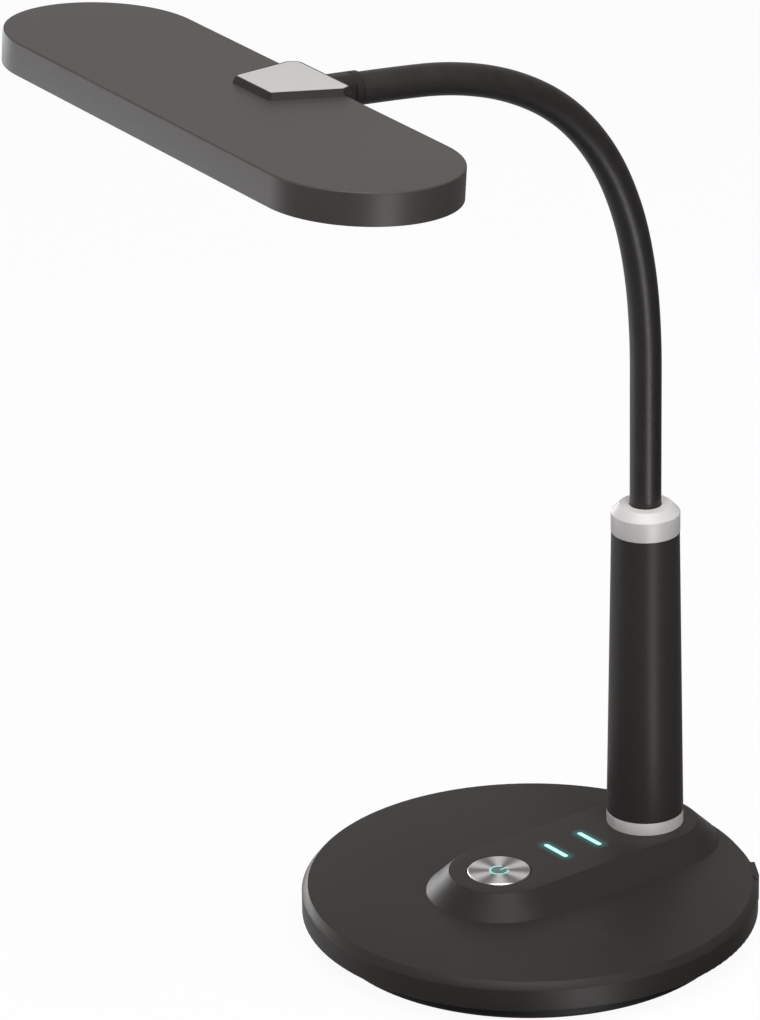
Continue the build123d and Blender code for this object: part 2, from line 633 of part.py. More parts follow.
def pod_outline(grow, corner_r=0.0):
    """Pod seen from above: narrow front, wide rear and clipped rear corners, grown by grow."""
    half = [
        (POD_FRONT_HALF, POD_FRONT_Y),
        (POD_REAR_HALF, POD_REAR_Y - POD_CLIP_Y),
        (POD_REAR_HALF - POD_CLIP_X, POD_REAR_Y),
    ]
    left = [(-x, y) for x, y in reversed(half)]
    outline = make_face(Polyline(*half, *left, close=True))
    if grow != 0:
        outline = offset(outline, grow, kind=Kind.INTERSECTION)
    if corner_r > 0:
        outline = fillet(outline.vertices(), corner_r)
    return Pos(NECK_OFFSET_X, 0) * outline


def make_head_housing():
    body = slab(0, -HEAD_T, 0)
    body = fillet(body.edges().group_by(Axis.Z)[-1], HEAD_EDGE_ROUND)
    body -= slab(HEAD_WALL, -HEAD_T, -HEAD_TOP_T)
    for x, y in head_screw_points:
        body += bar(HEAD_BOSS_R, BACK_PLATE_TOP, -HEAD_TOP_T, x, y)
        body -= bar(HEAD_SCREW_R + SCREW_FIT, BACK_PLATE_TOP, -HEAD_TOP_T, x, y)
    for x, y in bracket_screw_points:
        body += bar(HEAD_BOSS_R, -HEAD_TOP_T - BRACKET_BOSS_L, -HEAD_TOP_T, x, y)
        body -= bar(BRACKET_SCREW_R + SCREW_FIT, -HEAD_TOP_T - BRACKET_BOSS_L, 0, x, y)
    return body


def make_back_plate():
    body = slab(HEAD_WALL + BACK_PLATE_INSET, BACK_PLATE_Z, BACK_PLATE_TOP)
    for x, y in head_screw_points:
        body -= bar(HEAD_SCREW_R + CLOSE_GAP, BACK_PLATE_Z, BACK_PLATE_TOP, x, y)
        cone_top = BACK_PLATE_Z + HEAD_SCREW_CONE_H
        body -= cone(HEAD_SCREW_CONE_R + CLOSE_GAP, HEAD_SCREW_R + CLOSE_GAP, BACK_PLATE_Z, cone_top, x, y)
    return body


def make_head_screws():
    screws = []
    for x, y in head_screw_points:
        cone_top = BACK_PLATE_Z + HEAD_SCREW_CONE_H
        head = cone(HEAD_SCREW_CONE_R, HEAD_SCREW_R, BACK_PLATE_Z, cone_top, x, y)
        screws.append(head + bar(HEAD_SCREW_R, cone_top, -HEAD_TOP_T - HEAD_SCREW_TIP_GAP, x, y))
    return screws


def make_reflector_sheet():
    return slab(HEAD_WALL + LED_STRIP_T + LED_STRIP_GAP, REFLECTOR_Z, BACK_PLATE_Z)


def make_light_guide():
    return slab(HEAD_WALL + LED_STRIP_T + LED_STRIP_GAP, GUIDE_Z, REFLECTOR_Z)


def make_diffuser():
    return slab(HEAD_WALL + STACK_GAP, DIFFUSER_Z, GUIDE_Z)


def make_led_strip(side):
    """Strip of LEDs against one long inside wall, facing the light guide's edge."""
    half_l = HEAD_L / 2 - HEAD_W / 2
    wall_y = HEAD_W / 2 - HEAD_WALL
    y0 = min(side * wall_y, side * (wall_y - LED_STRIP_T))
    return box(-half_l, half_l, y0, y0 + LED_STRIP_T, GUIDE_Z, REFLECTOR_Z + REFLECTOR_T)


def make_head_bracket():
    slope = degrees(atan2(POD_BORDER - POD_RIM_W, POD_H))
    body = extrude(pod_outline(POD_BORDER, POD_CORNER_R), POD_H, taper=slope)
    x0 = NECK_OFFSET_X - BLOCK_HALF_W
    x1 = NECK_OFFSET_X + BLOCK_HALF_W
    block = box(x0, x1, HEAD_W / 2, BLOCK_REAR_Y, -NECK_DROP - BLOCK_BOTTOM, BLOCK_TOP)
    body += fillet(block.edges().filter_by(Axis.Y).group_by(Axis.Z)[-1], BLOCK_TOP_ROUND)
    body -= extrude(Pos(0, 0, POD_H - PLATE_T) * pod_outline(0), PLATE_T)
    for x, y in bracket_screw_points:
        body -= bar(BRACKET_SCREW_R + SCREW_FIT, 0, POD_H, x, y)
        body -= bar(BRACKET_HEAD_R + CLOSE_GAP, POD_H - PLATE_T - BRACKET_HEAD_H, POD_H, x, y)
    ferrule_r = HOSE_R + FERRULE_WALL + CLOSE_GAP
    bore_y = BLOCK_REAR_Y - COLLAR_SPIGOT_L - UPPER_FERRULE_L
    body -= along_y(ferrule_r, bore_y, BLOCK_REAR_Y, NECK_OFFSET_X, -NECK_DROP)
    screw_z = -NECK_DROP - BLOCK_BOTTOM
    body -= bar(SET_SCREW_R + SCREW_FIT, screw_z, -NECK_DROP, NECK_OFFSET_X, SET_SCREW_Y)
    return body


def make_bracket_plate():
    outline = pod_outline(-CLOSE_GAP)
    return extrude(Pos(0, 0, POD_H - PLATE_T) * outline, PLATE_T)


def make_bracket_screws():
    screws = []
    seat_z = POD_H - PLATE_T - BRACKET_HEAD_H
    for x, y in bracket_screw_points:
        head = bar(BRACKET_HEAD_R, seat_z, seat_z + BRACKET_HEAD_H, x, y)
        screws.append(head + bar(BRACKET_SCREW_R, seat_z - BRACKET_SCREW_L, seat_z, x, y))
    return screws


def make_neck_upper_ferrule():
    rear = BLOCK_REAR_Y - COLLAR_SPIGOT_L
    front = rear - UPPER_FERRULE_L + LOOSE_GAP
    body = along_y(HOSE_R + FERRULE_WALL, front, rear, NECK_OFFSET_X, -NECK_DROP)
    return body - along_y(HOSE_R + TURNED_FIT, front, rear, NECK_OFFSET_X, -NECK_DROP)


def make_ferrule_set_screw():
    bottom = -NECK_DROP - BLOCK_BOTTOM + SET_SCREW_SUNK
    top = -NECK_DROP - HOSE_R - FERRULE_WALL - TURNED_FIT
    return bar(SET_SCREW_R, bottom, top, NECK_OFFSET_X, SET_SCREW_Y)


def make_neck_collar():
    outline = SlotOverall(2 * COLLAR_R + COLLAR_RISE, 2 * COLLAR_R, rotation=90)
    face = Plane(origin=(NECK_OFFSET_X, BLOCK_REAR_Y, COLLAR_RISE / 2 - NECK_DROP), x_dir=(1, 0, 0), z_dir=(0, 1, 0))
    body = extrude(face * outline, COLLAR_L)
    body = fillet(body.edges().group_by(Axis.Y)[-1], COLLAR_EDGE)
    spigot_r = HOSE_R + FERRULE_WALL
    body += along_y(spigot_r, BLOCK_REAR_Y - COLLAR_SPIGOT_L, BLOCK_REAR_Y, NECK_OFFSET_X, -NECK_DROP)
    hose_y = BLOCK_REAR_Y - COLLAR_SPIGOT_L
    return body - along_y(HOSE_R + TURNED_FIT, hose_y, NECK_END_Y, NECK_OFFSET_X, -NECK_DROP)


# Every piece, by name

pieces = {
    "base_shell": make_base_shell(),
    "base_bottom_cover": make_base_bottom_cover(),
    "base_foot_pad": make_base_foot_pad(),
    "base_screws": make_base_screws(),
    "counterweight": make_counterweight(),
    "counterweight_screws": make_counterweight_screws(),
    "control_board": make_control_board(),
    "board_screws": make_board_screws(),
    "switch_housing": make_switch_housing(),
    "switch_plunger": make_switch_plunger(),
    "power_button": make_power_button(),
    "button_icon": make_button_icon(),
    "indicator_lenses": make_indicator_lenses(),
    "indicator_leds": make_indicator_leds(),
    "inlet_socket": make_inlet_socket(),
    "inlet_pin": make_inlet_pin(),
    "column_base_ring": make_column_base_ring(),
    "column_tube": make_column_tube(),
    "column_cap": make_column_cap(),
    "column_tie_rod": make_column_tie_rod(),
    "column_washer": make_column_washer(),
    "column_nut": make_column_nut(),
    "neck_lower_ferrule": make_neck_lower_ferrule(),
}
for i in range(len(RUN_BENDS_DEG)):
    pieces["neck_sleeve_%02d" % (i + 1)] = make_neck_sleeve(i)
for i in range(len(RUN_BENDS_DEG) + 1):
    pieces["neck_hose_%02d" % i] = make_neck_hose(i)

head_pieces = {
    "neck_upper_ferrule": make_neck_upper_ferrule(),
    "ferrule_set_screw": make_ferrule_set_screw(),
    "neck_collar": make_neck_collar(),
    "head_bracket": make_head_bracket(),
    "bracket_plate": make_bracket_plate(),
    "bracket_screws": make_bracket_screws(),
    "head_housing": make_head_housing(),
    "back_plate": make_back_plate(),
    "head_screws": make_head_screws(),
    "reflector_sheet": make_reflector_sheet(),
    "light_guide": make_light_guide(),
    "diffuser": make_diffuser(),
    "led_strip_front": make_led_strip(-1),
    "led_strip_rear": make_led_strip(1),
}
for name, piece in head_pieces.items():
    group = piece if isinstance(piece, list) else [piece]
    pieces[name] = [head_frame * solid for solid in group]

os.makedirs("parts", exist_ok=True)
for name, piece in pieces.items():
    shape = Compound(children=piece) if isinstance(piece, list) and len(piece) > 1 else piece
    if isinstance(shape, list):
        shape = shape[0]
    export_step(shape, "parts/" + name + ".step")
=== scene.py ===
# A gooseneck desk lamp: a round weighted base with a push button, a tapered column, a flexible neck
# and a long flat head. The pieces follow one another in the order in which the lamp is assembled.
import math

import bmesh
import bpy
from mathutils import Matrix, Vector


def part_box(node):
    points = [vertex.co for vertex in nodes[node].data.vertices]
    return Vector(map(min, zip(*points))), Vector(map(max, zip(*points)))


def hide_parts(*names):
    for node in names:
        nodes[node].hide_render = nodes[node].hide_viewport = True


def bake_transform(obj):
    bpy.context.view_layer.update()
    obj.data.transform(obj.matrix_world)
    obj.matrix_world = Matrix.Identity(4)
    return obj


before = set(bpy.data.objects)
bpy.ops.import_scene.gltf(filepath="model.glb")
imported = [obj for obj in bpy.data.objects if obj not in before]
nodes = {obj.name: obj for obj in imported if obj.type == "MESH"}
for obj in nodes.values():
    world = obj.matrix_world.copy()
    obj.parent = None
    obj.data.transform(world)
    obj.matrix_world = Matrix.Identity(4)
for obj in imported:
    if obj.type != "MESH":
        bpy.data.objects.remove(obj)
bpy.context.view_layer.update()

# ---- Base shell ----
# The round upper moulding of the base, injection moulded in dark ABS with a raised island for the
# button and the column. Its mould is spark eroded, which leaves an even, fine matte grain. A teal
# glow round the two slots on the island's top is painted light, emitted by the shell itself.

BASE_GREY = (50, 46, 44)
ISLAND_TOP_Z = 0.0313
ISLAND_TOP_MARGIN = 0.0004
SLOT_HALF_L = 0.0068
SLOT_HALF_W = 0.0012
# Painted light: the colour and reach of a teal glow that the shell's top gives off round each slot.
PAINTED_GLOW_TEAL = (14, 84, 86)
PAINTED_GLOW_NEAR = 0.0006
PAINTED_GLOW_FAR = 0.0052
NOISE_LOW = 0.3
NOISE_HIGH = 0.7
SHARP_ANGLE = math.radians(28)
WELD_GAP = 0.000004


def paint(red, green, blue):
    """Linear colour from the 0 to 255 values of a paint chart."""
    linear = []
    for value in (red, green, blue):
        part = value / 255
        linear.append(part / 12.92 if part <= 0.04045 else ((part + 0.055) / 1.055) ** 2.4)
    return (*linear, 1.0)


def wire(tree, source, target):
    """Joins an output socket to an input socket."""
    tree.links.new(source, target)


def blank(name):
    """A new material with its node tree and its Principled shader."""
    material = bpy.data.materials.new(name)
    material.use_nodes = True
    tree = material.node_tree
    return material, tree, tree.nodes["Principled BSDF"]


def shader_of(material):
    """The Principled shader of a finished material."""
    return material.node_tree.nodes["Principled BSDF"]


def place(tree):
    """Object coordinates."""
    return tree.nodes.new("ShaderNodeTexCoord").outputs["Object"]


def noise(tree, size, detail, stretch=None):
    """Noise whose grains measure size metres, scaled along the axes if stretch is given."""
    texture = tree.nodes.new("ShaderNodeTexNoise")
    texture.inputs["Scale"].default_value = 1 / size
    texture.inputs["Detail"].default_value = detail
    source = place(tree)
    if stretch:
        mapping = tree.nodes.new("ShaderNodeMapping")
        mapping.inputs["Scale"].default_value = stretch
        wire(tree, source, mapping.inputs["Vector"])
        source = mapping.outputs["Vector"]
    wire(tree, source, texture.inputs["Vector"])
    return texture.outputs["Fac"]


def between(tree, factor, low, high):
    """Maps the usual reach of a noise, around 0.5, to a number between low and high."""
    span = tree.nodes.new("ShaderNodeMapRange")
    span.inputs["From Min"].default_value = NOISE_LOW
    span.inputs["From Max"].default_value = NOISE_HIGH
    span.inputs["To Min"].default_value = low
    span.inputs["To Max"].default_value = high
    wire(tree, factor, span.inputs["Value"])
    return span.outputs["Result"]


def tinted(tree, factor, colour, spread):
    """A paint chart colour that wanders spread either way with a factor around 0.5."""
    mix = tree.nodes.new("ShaderNodeMix")
    mix.data_type = "RGBA"
    red, green, blue, alpha = paint(*colour)
    for socket, share in (("A", 1 - spread), ("B", 1 + spread)):
        mix.inputs[socket].default_value = (red * share, green * share, blue * share, alpha)
    wire(tree, between(tree, factor, 0, 1), mix.inputs["Factor"])
    return mix.outputs["Result"]


def dent(tree, shader, height, depth, strength):
    """Bumps the shader's surface by a height pattern that is depth metres deep."""
    bump = tree.nodes.new("ShaderNodeBump")
    bump.inputs["Distance"].default_value = depth
    bump.inputs["Strength"].default_value = strength
    wire(tree, height, bump.inputs["Height"])
    wire(tree, bump.outputs["Normal"], shader.inputs["Normal"])


def moulded(name, colour, roughness, grain, gloss=0.5, spread=0.05, strength=0.25):
    """Moulded plastic: speckled finely in its colour and sheen by an even, fine grain."""
    speckle_size = grain * 3
    sheen_spread = 0.03
    grain_depth = grain * 0.12
    material, tree, shader = blank(name)
    fine = noise(tree, grain, detail=2)
    speckle = noise(tree, speckle_size, detail=3)
    sheen = between(tree, fine, roughness - sheen_spread, roughness + sheen_spread)
    wire(tree, tinted(tree, speckle, colour, spread), shader.inputs["Base Color"])
    wire(tree, sheen, shader.inputs["Roughness"])
    shader.inputs["Specular IOR Level"].default_value = gloss
    dent(tree, shader, fine, grain_depth, strength)
    return material


def smoothing():
    """Modifier nodes that shade a surface smooth but keep every edge past the sharp angle."""
    tree = bpy.data.node_groups.new("smooth_but_for_edges", "GeometryNodeTree")
    for in_out in ("INPUT", "OUTPUT"):
        tree.interface.new_socket("Geometry", in_out=in_out, socket_type="NodeSocketGeometry")
    start = tree.nodes.new("NodeGroupInput")
    end = tree.nodes.new("NodeGroupOutput")
    angle = tree.nodes.new("GeometryNodeInputMeshEdgeAngle")
    sharp = tree.nodes.new("FunctionNodeCompare")
    sharp.operation = "GREATER_THAN"
    sharp.inputs["B"].default_value = SHARP_ANGLE
    faces = tree.nodes.new("GeometryNodeSetShadeSmooth")
    edges = tree.nodes.new("GeometryNodeSetShadeSmooth")
    edges.domain = "EDGE"
    edges.inputs["Shade Smooth"].default_value = False
    wire(tree, start.outputs[0], faces.inputs["Geometry"])
    wire(tree, faces.outputs["Geometry"], edges.inputs["Geometry"])
    wire(tree, angle.outputs["Unsigned Angle"], sharp.inputs["A"])
    wire(tree, sharp.outputs["Result"], edges.inputs["Selection"])
    wire(tree, edges.outputs["Geometry"], end.inputs[0])
    return tree


smooth_but_for_edges = smoothing()


def smooth(piece):
    """Smooths a piece's round faces."""
    shade = piece.modifiers.new("shade", "NODES")
    shade.node_group = smooth_but_for_edges


def dress(name, material):
    """Gives a CAD node its finish and smooths its round faces."""
    piece = nodes[name]
    piece.data.materials.clear()
    piece.data.materials.append(material)
    weld = piece.modifiers.new("weld", "WELD")
    weld.merge_threshold = WELD_GAP
    smooth(piece)


def sums(tree, operation, first, second=0):
    """One Math node; either value may be a number or a socket."""
    math_node = tree.nodes.new("ShaderNodeMath")
    math_node.operation = operation
    for socket, value in zip(math_node.inputs, (first, second)):
        if isinstance(value, (int, float)):
            socket.default_value = value
        else:
            wire(tree, value, socket)
    return math_node.outputs[0]


def distance(tree, first, second):
    """The length of the diagonal between two lengths at a right angle."""
    squares = [sums(tree, "MULTIPLY", side, side) for side in (first, second)]
    return sums(tree, "SQRT", sums(tree, "ADD", *squares))


def fade(tree, reach, near, far):
    """1 nearer than near, 0 past far, smooth between."""
    ramp = tree.nodes.new("ShaderNodeMapRange")
    ramp.interpolation_type = "SMOOTHERSTEP"
    ramp.inputs["From Min"].default_value = near
    ramp.inputs["From Max"].default_value = far
    ramp.inputs["To Min"].default_value = 1
    ramp.inputs["To Max"].default_value = 0
    wire(tree, reach, ramp.inputs["Value"])
    return ramp.outputs["Result"]


base_plastic = moulded("base_plastic", BASE_GREY, roughness=0.42, grain=0.00035, gloss=0.16)
tree = base_plastic.node_tree
axes = tree.nodes.new("ShaderNodeSeparateXYZ")
wire(tree, place(tree), axes.inputs[0])
along_slot = sums(tree, "SUBTRACT", sums(tree, "ABSOLUTE", axes.outputs[0]), SLOT_HALF_L)
past_end = sums(tree, "MAXIMUM", along_slot, 0)
lens_low, lens_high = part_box("indicator_lenses")
# Painted light: a teal glow on the island's top, fading out round each slot, emitted by the shell.
painted_glows = []
for slot_y in (lens_low.y + SLOT_HALF_W, lens_high.y - SLOT_HALF_W):
    across = sums(tree, "SUBTRACT", axes.outputs[1], slot_y)
    painted_glows.append(fade(tree, distance(tree, past_end, across), PAINTED_GLOW_NEAR, PAINTED_GLOW_FAR))
on_top = sums(tree, "GREATER_THAN", axes.outputs[2], ISLAND_TOP_Z - ISLAND_TOP_MARGIN)
glow = sums(tree, "MULTIPLY", sums(tree, "ADD", *painted_glows), on_top)
shader = shader_of(base_plastic)
shader.inputs["Emission Color"].default_value = paint(*PAINTED_GLOW_TEAL)
wire(tree, glow, shader.inputs["Emission Strength"])
dress("base_shell", base_plastic)

# ---- Bottom cover, foot pad and the screws between them ----
# A black ABS tray closes the base from below and carries the counterweight. A thin rubber disc is
# stuck under it, over the heads of the four screws that hold the tray to the shell.

COVER_BLACK = (28, 27, 26)
PAD_BLACK = (44, 43, 43)
ZINC_GREY = (178, 178, 182)


def rubber(name, colour, roughness, grain, strength=0.4):
    """Moulded rubber: soft broad highlights, a cloudy colour and a slightly dusty sheen."""
    sheen_spread = 0.06
    grain_depth = grain * 0.2
    material, tree, shader = blank(name)
    cloud = noise(tree, size=0.006, detail=5)
    dust = noise(tree, size=0.002, detail=3)
    sheen = between(tree, dust, roughness - sheen_spread, roughness + sheen_spread)
    wire(tree, tinted(tree, cloud, colour, spread=0.12), shader.inputs["Base Color"])
    wire(tree, sheen, shader.inputs["Roughness"])
    shader.inputs["Specular IOR Level"].default_value = 0.3
    dent(tree, shader, noise(tree, grain, detail=3), grain_depth, strength)
    return material


def bright_metal(name, colour, roughness, stretch, size=0.0006, spread=0.12):
    """Worked metal: scratches drawn out along one axis, in its colour, sheen and surface."""
    sheen_spread = 0.07
    scratch_depth = size * 0.05
    material, tree, shader = blank(name)
    shader.inputs["Metallic"].default_value = 1.0
    lines = noise(tree, size, detail=4, stretch=stretch)
    sheen = between(tree, lines, roughness - sheen_spread, roughness + sheen_spread)
    wire(tree, tinted(tree, lines, colour, spread), shader.inputs["Base Color"])
    wire(tree, sheen, shader.inputs["Roughness"])
    dent(tree, shader, lines, scratch_depth, strength=0.3)
    return material


cover_plastic = moulded("cover_plastic", COVER_BLACK, roughness=0.5, grain=0.0004, gloss=0.16)
dress("base_bottom_cover", cover_plastic)
dress("base_foot_pad", rubber("pad_rubber", PAD_BLACK, roughness=0.8, grain=0.0009))
zinc = bright_metal("zinc_plated_steel", ZINC_GREY, roughness=0.3, stretch=(1, 1, 0.2))
dress("base_screws", zinc)

# ---- Counterweight ----
# A cast iron disc in the tray, held down by three screws. It keeps the lamp upright with the head
# reaching over the desk.

IRON_GREY = (92, 90, 90)

cast_iron, tree, shader = blank("cast_iron")
skin = tinted(tree, noise(tree, size=0.004, detail=6), IRON_GREY, spread=0.22)
wire(tree, skin, shader.inputs["Base Color"])
shader.inputs["Metallic"].default_value = 0.85
sheen = between(tree, noise(tree, size=0.0015, detail=4), low=0.5, high=0.72)
wire(tree, sheen, shader.inputs["Roughness"])
dent(tree, shader, noise(tree, size=0.0012, detail=5), depth=0.00015, strength=0.7)
dress("counterweight", cast_iron)
dress("counterweight_screws", zinc)

# ---- Control board, switch and indicator LEDs ----
# A glass-fibre board with a green mask hangs under the island. It carries a push switch below the
# button and one LED below each slot.

MASK_GREEN = (22, 88, 52)
WEAVE_STRETCH = (1, 6, 1)
TRACK_STRETCH = (1, 5, 1)
SWITCH_BLACK = (34, 34, 34)
PLUNGER_CREAM = (214, 209, 190)
LED_YELLOW = (240, 230, 170)

green_mask, tree, shader = blank("green_mask")
weave = noise(tree, size=0.003, detail=2, stretch=WEAVE_STRETCH)
wire(tree, tinted(tree, weave, MASK_GREEN, spread=0.18), shader.inputs["Base Color"])
shader.inputs["Roughness"].default_value = 0.32
tracks = noise(tree, size=0.0016, detail=1, stretch=TRACK_STRETCH)
dent(tree, shader, tracks, depth=0.00004, strength=0.5)
dress("control_board", green_mask)
dress("board_screws", zinc)

switch_plastic = moulded("switch_plastic", SWITCH_BLACK, roughness=0.42, grain=0.0003)
dress("switch_housing", switch_plastic)
plunger_plastic = moulded("plunger_plastic", PLUNGER_CREAM, roughness=0.4, grain=0.0003)
dress("switch_plunger", plunger_plastic)
led_plastic = moulded("led_plastic", LED_YELLOW, roughness=0.3, grain=0.0003)
dress("indicator_leds", led_plastic)

# ---- Power button ----
# A spun aluminium cap that moves straight down on the switch. Turning leaves fine rings. Light
# and dark wedges round its centre are a painted sheen in the metal's colour, and a teal film,
# painted wedges and all, tints the metal in the middle.

# Painted sheen: the metal's painted shaded and lit tones, and six light wedges round the centre.
BUTTON_PAINTED_SHADE = (150, 147, 146)
BUTTON_PAINTED_SHEEN = (246, 243, 242)
PAINTED_WEDGES = 6
PAINTED_WEDGE_TURN = math.radians(53.3)
PAINTED_WEDGE_CONTRAST = -0.22
RING_STEP = 0.00022
RING_CONTRAST = 0.16
PAINTED_SHEEN_LEVEL = 0.42
FILM_TEAL = (164, 190, 190)
FILM_FULL_R = 0.0031
FILM_END_R = 0.0039

button_low, button_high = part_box("power_button")
button_centre = (button_low + button_high) / 2
spun, tree, shader = blank("spun_aluminium")
centred = tree.nodes.new("ShaderNodeMapping")
centred.inputs["Location"].default_value = (-button_centre.x, -button_centre.y, 0)
wire(tree, place(tree), centred.inputs["Vector"])
axes = tree.nodes.new("ShaderNodeSeparateXYZ")
wire(tree, centred.outputs["Vector"], axes.inputs[0])
radius = distance(tree, axes.outputs[0], axes.outputs[1])
turn = sums(tree, "ARCTAN2", axes.outputs[1], axes.outputs[0])
painted_wedge_turn = sums(tree, "MULTIPLY", sums(tree, "SUBTRACT", turn, PAINTED_WEDGE_TURN), PAINTED_WEDGES)
painted_wedge = sums(tree, "MULTIPLY", sums(tree, "COSINE", painted_wedge_turn), PAINTED_WEDGE_CONTRAST)
ring_noise = tree.nodes.new("ShaderNodeTexNoise")
ring_noise.noise_dimensions = "1D"
ring_noise.inputs["Scale"].default_value = 1 / RING_STEP
ring_noise.inputs["Detail"].default_value = 3
wire(tree, radius, ring_noise.inputs["W"])
rings = ring_noise.outputs["Fac"]
rings_and_painted_wedges = sums(tree, "ADD", painted_wedge, sums(tree, "MULTIPLY", rings, RING_CONTRAST))
# Painted sheen: the metal's colour runs from its shaded to its lit tone with the rings and the
# painted wedges.
sheen = tree.nodes.new("ShaderNodeMix")
sheen.data_type = "RGBA"
sheen.inputs["A"].default_value = paint(*BUTTON_PAINTED_SHADE)
sheen.inputs["B"].default_value = paint(*BUTTON_PAINTED_SHEEN)
painted_lightness = between(tree, sums(tree, "ADD", rings_and_painted_wedges, PAINTED_SHEEN_LEVEL), 0, 1)
wire(tree, painted_lightness, sheen.inputs["Factor"])
film = tree.nodes.new("ShaderNodeMix")
film.data_type = "RGBA"
wire(tree, fade(tree, radius, FILM_FULL_R, FILM_END_R), film.inputs["Factor"])
wire(tree, sheen.outputs["Result"], film.inputs["A"])
wire(tree, tinted(tree, rings_and_painted_wedges, FILM_TEAL, spread=0.3), film.inputs["B"])
wire(tree, film.outputs["Result"], shader.inputs["Base Color"])
shader.inputs["Metallic"].default_value = 1.0
wire(tree, between(tree, rings, low=0.26, high=0.4), shader.inputs["Roughness"])
dent(tree, shader, rings, depth=0.00001, strength=0.25)
dress("power_button", spun)

# ---- Button symbol and indicator lenses ----
# Clear acrylic light guides, lit from below in teal: the ring and tick inlaid in the button, and
# two bars pressed up into the slots of the island, flush with its top.

SYMBOL_TEAL = (140, 196, 190)
SYMBOL_FINISH = {"size": 0.0015, "spread": 0.1, "glow": (120, 186, 181), "strength": 0.62}
LENS_TEAL = (176, 206, 203)
LENS_FINISH = {"size": 0.002, "spread": 0.05, "glow": (150, 208, 205), "strength": 0.76}


def lit_acrylic(name, colour, size, spread, glow, strength):
    """Acrylic with a faint cloud in its colour, and an even glow of its own."""
    material, tree, shader = blank(name)
    cloud = noise(tree, size, detail=2)
    wire(tree, tinted(tree, cloud, colour, spread), shader.inputs["Base Color"])
    shader.inputs["Roughness"].default_value = 0.35
    shader.inputs["Emission Color"].default_value = paint(*glow)
    shader.inputs["Emission Strength"].default_value = strength
    return material


dress("button_icon", lit_acrylic("symbol_light", SYMBOL_TEAL, **SYMBOL_FINISH))
dress("indicator_lenses", lit_acrylic("lens_light", LENS_TEAL, **LENS_FINISH))

# ---- Power inlet ----
# A black moulded socket with a nickel-plated centre pin. Its body is held between the shell and the
# cover, and its nose looks out of the boss at the base's rim.

SOCKET_BLACK = (30, 30, 30)
NICKEL_YELLOW = (206, 198, 176)

socket_plastic = moulded("socket_plastic", SOCKET_BLACK, roughness=0.38, grain=0.0003)
dress("inlet_socket", socket_plastic)
dress("inlet_pin", bright_metal("nickel", NICKEL_YELLOW, roughness=0.24, stretch=(1, 1, 1)))

# ---- Column ----
# A tapered black ABS tube between a silver-grey ring and a silver-grey cap. A hollow tie rod in it,
# with a washer and a nut at its foot, pulls the three together on the base.

COLUMN_BLACK = (57, 53, 52)
COLUMN_FINISH = {"roughness": 0.42, "grain": 0.0003, "gloss": 0.13, "strength": 0.15}
SILVER_GREY = (216, 213, 212)
SILVER_FINISH = {"roughness": 0.5, "grain": 0.0002, "gloss": 0.3, "spread": 0.02, "strength": 0.15}
SILVER_METALLIC = 0.1

dress("column_tube", moulded("column_plastic", COLUMN_BLACK, **COLUMN_FINISH))
silver_plastic = moulded("silver_plastic", SILVER_GREY, **SILVER_FINISH)
shader_of(silver_plastic).inputs["Metallic"].default_value = SILVER_METALLIC
for name in ("column_base_ring", "column_cap"):
    dress(name, silver_plastic)
for name in ("column_tie_rod", "column_washer", "column_nut"):
    dress(name, zinc)

# ---- Hose and ferrules ----
# A coiled steel hose bends and stays where it is put. A turned brass ferrule grips it at either
# end, and a set screw holds the upper one in the head's bracket.

HOSE_GREY = (150, 150, 154)
BRASS_YELLOW = (196, 160, 92)
HOSE_LENGTHS = 11

hose_steel = bright_metal("hose_steel", HOSE_GREY, roughness=0.34, stretch=(1, 1, 1), size=0.0012)
for index in range(HOSE_LENGTHS):
    dress("neck_hose_%02d" % index, hose_steel)
turned_brass = bright_metal("turned_brass", BRASS_YELLOW, roughness=0.26, stretch=(1, 1, 4))
for name in ("neck_lower_ferrule", "neck_upper_ferrule"):
    dress(name, turned_brass)
dress("ferrule_set_screw", zinc)

# ---- Sleeve ----
# A smooth rubber tube that covers the hose from the cap to the head. It is made here as ten equal
# runs, straight or a plain arc, along the hose's line. The first has a foot inside the cap.

SLEEVE_BLACK = (44, 41, 40)
SLEEVE_R = 0.0069
SLEEVE_BORE_R = 0.0043
SLEEVE_SIDES = 64
SLEEVE_FOOT = 0.0055
SLEEVE_MERGE = 0.000001
RUN_LENGTH = 0.0309
RUN_BENDS = [math.radians(bend) for bend in (0, 0, 5, 8, 12, 16, 18, 14, 11, 1.7)]
RUN_STEPS = 16
NECK_TURN = math.radians(-3.5)
NECK_LEAD = 0.0007

sleeve_rubber = rubber("sleeve_rubber", SLEEVE_BLACK, roughness=0.4, grain=0.0003, strength=0.12)
neck_forward = Vector((math.sin(NECK_TURN), -math.cos(NECK_TURN), 0))
neck_side = Vector((math.cos(NECK_TURN), math.sin(NECK_TURN), 0))
upward = Vector((0, 0, 1))


def direction_at(heading):
    """The direction of the neck's line at a heading, which is 0 straight up."""
    return neck_forward * math.sin(heading) + upward * math.cos(heading)


def next_station(station, heading, length, bend):
    """Place and heading at the end of a plain arc of the neck."""
    if bend == 0:
        return station + direction_at(heading) * length, heading
    radius = length / bend
    onward = heading + bend
    reach = radius * (math.cos(heading) - math.cos(onward))
    rise = radius * (math.sin(onward) - math.sin(heading))
    return station + neck_forward * reach + upward * rise, onward


